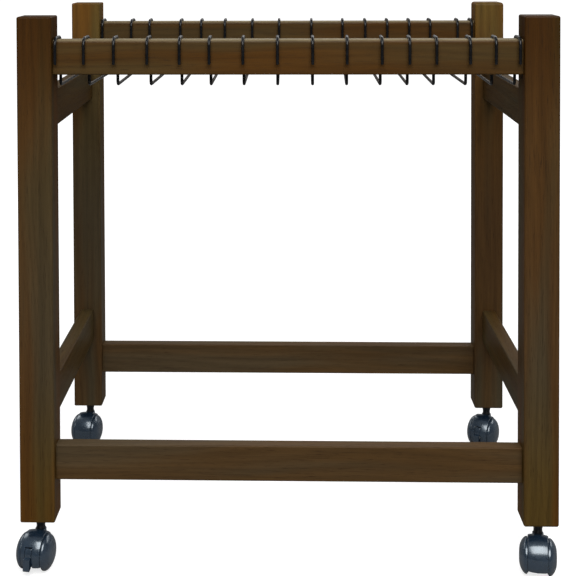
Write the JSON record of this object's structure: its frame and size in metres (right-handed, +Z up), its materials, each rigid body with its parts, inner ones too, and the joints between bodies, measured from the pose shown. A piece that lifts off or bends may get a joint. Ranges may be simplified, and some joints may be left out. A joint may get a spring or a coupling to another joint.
{
  "type": "newspaper rack",
  "caption": "Open walnut-stained wood frame on swivelling twin-wheel casters, with bent black wire hanger bars hooked over two long top rails.",
  "frame": {"origin": "on the floor at the middle of the whole footprint, with the casters as they stand at rest", "axes": "+Z up, +X along the long rails, front of the rack towards -Y"},
  "size_m": [0.6952, 0.473, 0.714],
  "materials": {
    "leg_wood": "walnut stain under a satin lacquer",
    "rail_wood": "walnut stain under a satin lacquer",
    "hanger_wire": "gloss black coating on bent steel wire",
    "caster_plastic": "glossy slate-black moulded nylon",
    "stem_steel": "black coated steel",
    "zinc_steel": "bright zinc plated steel"
  },
  "bodies": {
    "frame": {"caster_back_left_stem": "stem_steel", "caster_back_right_stem": "stem_steel", "caster_front_left_stem": "stem_steel", "caster_front_right_stem": "stem_steel", "hanging_rail_back": "rail_wood", "hanging_rail_front": "rail_wood", "leg_back_left": "leg_wood", "leg_back_right": "leg_wood", "leg_front_left": "leg_wood", "leg_front_right": "leg_wood", "lower_rail_back": "rail_wood", "lower_rail_front": "rail_wood", "screw_lower_back_left": "zinc_steel", "screw_lower_back_right": "zinc_steel", "screw_lower_front_left": "zinc_steel", "screw_lower_front_right": "zinc_steel", "screw_upper_back_left": "zinc_steel", "screw_upper_back_right": "zinc_steel", "screw_upper_front_left": "zinc_steel", "screw_upper_front_right": "zinc_steel", "side_rail_lower_left": "rail_wood", "side_rail_lower_right": "rail_wood", "side_rail_upper_left": "rail_wood", "side_rail_upper_right": "rail_wood"},
    "caster_front_left": {"caster_front_left_hood": "caster_plastic", "caster_front_left_axle": "zinc_steel"},
    "wheel_front_left_left": {"caster_front_left_wheel_left": "caster_plastic"},
    "wheel_front_left_right": {"caster_front_left_wheel_right": "caster_plastic"},
    "brake_front_left": {"caster_front_left_brake_lever": "caster_plastic"},
    "caster_front_right": {"caster_front_right_hood": "caster_plastic", "caster_front_right_axle": "zinc_steel"},
    "wheel_front_right_left": {"caster_front_right_wheel_left": "caster_plastic"},
    "wheel_front_right_right": {"caster_front_right_wheel_right": "caster_plastic"},
    "caster_back_left": {"caster_back_left_hood": "caster_plastic", "caster_back_left_axle": "zinc_steel"},
    "wheel_back_left_left": {"caster_back_left_wheel_left": "caster_plastic"},
    "wheel_back_left_right": {"caster_back_left_wheel_right": "caster_plastic"},
    "caster_back_right": {"caster_back_right_hood": "caster_plastic", "caster_back_right_axle": "zinc_steel"},
    "wheel_back_right_left": {"caster_back_right_wheel_left": "caster_plastic"},
    "wheel_back_right_right": {"caster_back_right_wheel_right": "caster_plastic"},
    "brake_back_right": {"caster_back_right_brake_lever": "caster_plastic"},
    "hanger_01": {"hanger_01": "hanger_wire"},
    "hanger_02": {"hanger_02": "hanger_wire"},
    "hanger_03": {"hanger_03": "hanger_wire"},
    "hanger_04": {"hanger_04": "hanger_wire"},
    "hanger_05": {"hanger_05": "hanger_wire"},
    "hanger_06": {"hanger_06": "hanger_wire"},
    "hanger_07": {"hanger_07": "hanger_wire"},
    "hanger_08": {"hanger_08": "hanger_wire"},
    "hanger_09": {"hanger_09": "hanger_wire"},
    "hanger_10": {"hanger_10": "hanger_wire"},
    "hanger_11": {"hanger_11": "hanger_wire"},
    "hanger_12": {"hanger_12": "hanger_wire"},
    "hanger_13": {"hanger_13": "hanger_wire"},
    "hanger_14": {"hanger_14": "hanger_wire"},
    "hanger_15": {"hanger_15": "hanger_wire"},
    "hanger_16": {"hanger_16": "hanger_wire"}
  },
  "joints": [
    {"name": "swivel_front_left", "type": "hinge", "parent": "frame", "child": "caster_front_left", "pos_m": [-0.31994, -0.19098, 0], "axis": [0, 0, 1], "continuous": true},
    {"name": "spin_front_left_left", "type": "hinge", "parent": "caster_front_left", "child": "wheel_front_left_left", "pos_m": [-0.32299, -0.20669, 0.02222], "axis": [0.9816, -0.1908, 0], "continuous": true},
    {"name": "spin_front_left_right", "type": "hinge", "parent": "caster_front_left", "child": "wheel_front_left_right", "pos_m": [-0.32299, -0.20669, 0.02222], "axis": [0.9816, -0.1908, 0], "continuous": true},
    {"name": "brake_front_left", "type": "hinge", "parent": "caster_front_left", "child": "brake_front_left", "pos_m": [-0.32612, -0.22278, 0.03058], "axis": [0.9816, -0.1908, 0], "range_deg": [0, 12]},
    {"name": "swivel_front_right", "type": "hinge", "parent": "frame", "child": "caster_front_right", "pos_m": [0.32506, -0.19098, 0], "axis": [0, 0, 1], "continuous": true},
    {"name": "spin_front_right_left", "type": "hinge", "parent": "caster_front_right", "child": "wheel_front_right_left", "pos_m": [0.32201, -0.20669, 0.02222], "axis": [0.9816, -0.1908, 0], "continuous": true},
    {"name": "spin_front_right_right", "type": "hinge", "parent": "caster_front_right", "child": "wheel_front_right_right", "pos_m": [0.32201, -0.20669, 0.02222], "axis": [0.9816, -0.1908, 0], "continuous": true},
    {"name": "swivel_back_left", "type": "hinge", "parent": "frame", "child": "caster_back_left", "pos_m": [-0.31994, 0.21402, 0], "axis": [0, 0, 1], "continuous": true},
    {"name": "spin_back_left_left", "type": "hinge", "parent": "caster_back_left", "child": "wheel_back_left_left", "pos_m": [-0.32299, 0.19831, 0.02222], "axis": [0.9816, -0.1908, 0], "continuous": true},
    {"name": "spin_back_left_right", "type": "hinge", "parent": "caster_back_left", "child": "wheel_back_left_right", "pos_m": [-0.32299, 0.19831, 0.02222], "axis": [0.9816, -0.1908, 0], "continuous": true},
    {"name": "swivel_back_right", "type": "hinge", "parent": "frame", "child": "caster_back_right", "pos_m": [0.32506, 0.21402, 0], "axis": [0, 0, 1], "continuous": true},
    {"name": "spin_back_right_left", "type": "hinge", "parent": "caster_back_right", "child": "wheel_back_right_left", "pos_m": [0.31755, 0.19989, 0.02222], "axis": [0.8829, -0.4695, 0], "continuous": true},
    {"name": "spin_back_right_right", "type": "hinge", "parent": "caster_back_right", "child": "wheel_back_right_right", "pos_m": [0.31755, 0.19989, 0.02222], "axis": [0.8829, -0.4695, 0], "continuous": true},
    {"name": "brake_back_right", "type": "hinge", "parent": "caster_back_right", "child": "brake_back_right", "pos_m": [0.30986, 0.18541, 0.03058], "axis": [0.8829, -0.4695, 0], "range_deg": [0, 12]},
    {"name": "slide_hanger_01", "type": "slide", "parent": "frame", "child": "hanger_01", "axis": [1, 0, 0], "range_m": [-0.001, 0.016]},
    {"name": "slide_hanger_02", "type": "slide", "parent": "frame", "child": "hanger_02", "axis": [1, 0, 0], "range_m": [-0.016, 0.012]},
    {"name": "slide_hanger_03", "type": "slide", "parent": "frame", "child": "hanger_03", "axis": [1, 0, 0], "range_m": [-0.012, 0.019]},
    {"name": "slide_hanger_04", "type": "slide", "parent": "frame", "child": "hanger_04", "axis": [1, 0, 0], "range_m": [-0.019, 0.014]},
    {"name": "slide_hanger_05", "type": "slide", "parent": "frame", "child": "hanger_05", "axis": [1, 0, 0], "range_m": [-0.014, 0.0165]},
    {"name": "slide_hanger_06", "type": "slide", "parent": "frame", "child": "hanger_06", "axis": [1, 0, 0], "range_m": [-0.0165, 0.019]},
    {"name": "slide_hanger_07", "type": "slide", "parent": "frame", "child": "hanger_07", "axis": [1, 0, 0], "range_m": [-0.019, 0.019]},
    {"name": "slide_hanger_08", "type": "slide", "parent": "frame", "child": "hanger_08", "axis": [1, 0, 0], "range_m": [-0.019, 0.02]},
    {"name": "slide_hanger_09", "type": "slide", "parent": "frame", "child": "hanger_09", "axis": [1, 0, 0], "range_m": [-0.02, 0.0195]},
    {"name": "slide_hanger_10", "type": "slide", "parent": "frame", "child": "hanger_10", "axis": [1, 0, 0], "range_m": [-0.0195, 0.0155]},
    {"name": "slide_hanger_11", "type": "slide", "parent": "frame", "child": "hanger_11", "axis": [1, 0, 0], "range_m": [-0.0155, 0.015]},
    {"name": "slide_hanger_12", "type": "slide", "parent": "frame", "child": "hanger_12", "axis": [1, 0, 0], "range_m": [-0.015, 0.0145]},
    {"name": "slide_hanger_13", "type": "slide", "parent": "frame", "child": "hanger_13", "axis": [1, 0, 0], "range_m": [-0.0145, 0.014]},
    {"name": "slide_hanger_14", "type": "slide", "parent": "frame", "child": "hanger_14", "axis": [1, 0, 0], "range_m": [-0.014, 0.014]},
    {"name": "slide_hanger_15", "type": "slide", "parent": "frame", "child": "hanger_15", "axis": [1, 0, 0], "range_m": [-0.014, 0.0085]},
    {"name": "slide_hanger_16", "type": "slide", "parent": "frame", "child": "hanger_16", "axis": [1, 0, 0], "range_m": [-0.0085, 0.002]}
  ]
}
